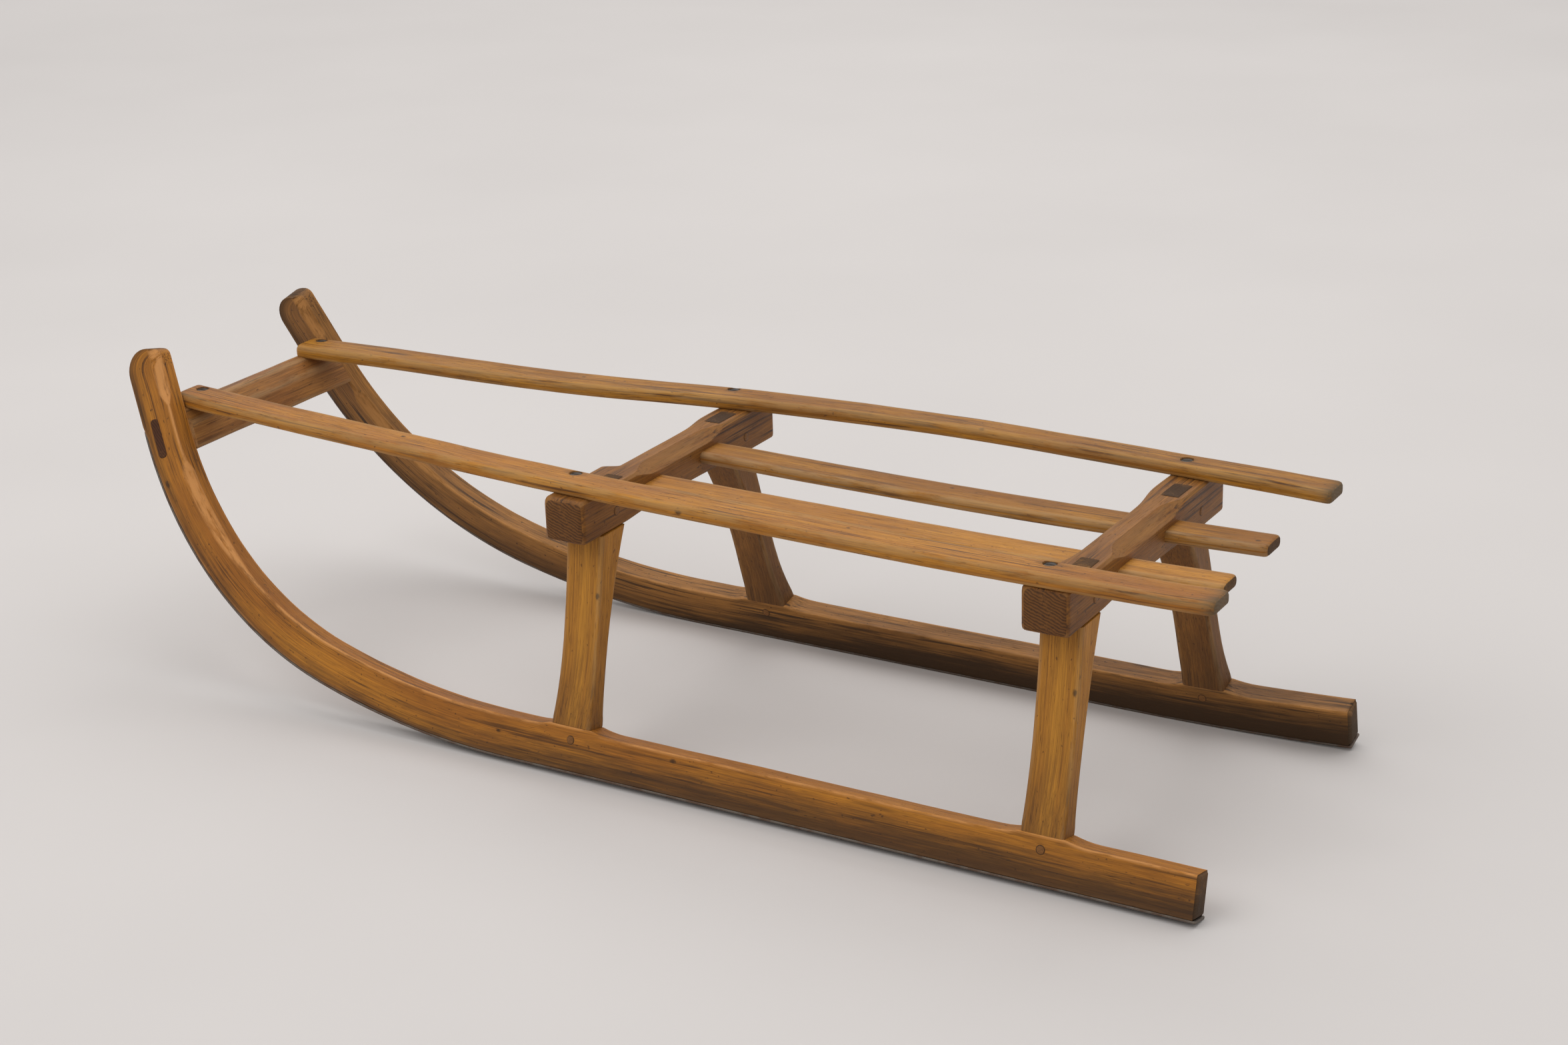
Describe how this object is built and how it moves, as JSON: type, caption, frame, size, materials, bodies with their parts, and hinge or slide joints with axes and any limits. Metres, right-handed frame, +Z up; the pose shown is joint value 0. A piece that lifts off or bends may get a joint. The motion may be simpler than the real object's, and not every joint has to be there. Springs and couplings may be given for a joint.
{
  "type": "wooden toboggan",
  "caption": "Wooden sledge with bent runners on steel shoes, canted legs, crossbars, a front rail and a slatted seat.",
  "frame": {"origin": "on the ground, under the middle of the overall box", "axes": "+X towards the tail (the horns point to -X), +Y to the right-hand side, +Z up"},
  "size_m": [1.028, 0.34, 0.2825],
  "materials": {
    "runner_wood": "old varnish, satin, darkened along the sole",
    "leg_wood": "old varnish, satin",
    "crossbar_wood": "old varnish, satin, dark end grain",
    "slat_wood": "old varnish, worn grey along the arrises and tails",
    "peg_wood": "end grain under varnish",
    "shoe_steel": "worn and browned by rust",
    "screw_steel": "dull and darkened"
  },
  "bodies": {
    "root": {"runner_left": "runner_wood", "runner_right": "runner_wood", "leg_middle_left": "leg_wood", "leg_middle_right": "leg_wood", "leg_rear_left": "leg_wood", "leg_rear_right": "leg_wood", "crossbar_middle": "crossbar_wood", "crossbar_rear": "crossbar_wood", "front_rail": "crossbar_wood", "slat_outer_left": "slat_wood", "slat_outer_right": "slat_wood", "slat_inner_left": "slat_wood", "slat_inner_right": "slat_wood", "crossbar_pegs_middle": "peg_wood", "crossbar_pegs_rear": "peg_wood", "runner_foot_pegs_left": "peg_wood", "runner_foot_pegs_right": "peg_wood", "runner_shoe_left": "shoe_steel", "runner_shoe_right": "shoe_steel", "slat_screws_left": "screw_steel", "slat_screws_right": "screw_steel", "inner_slat_nails": "screw_steel", "shoe_screws_left": "screw_steel", "shoe_screws_right": "screw_steel"}
  },
  "joints": []
}
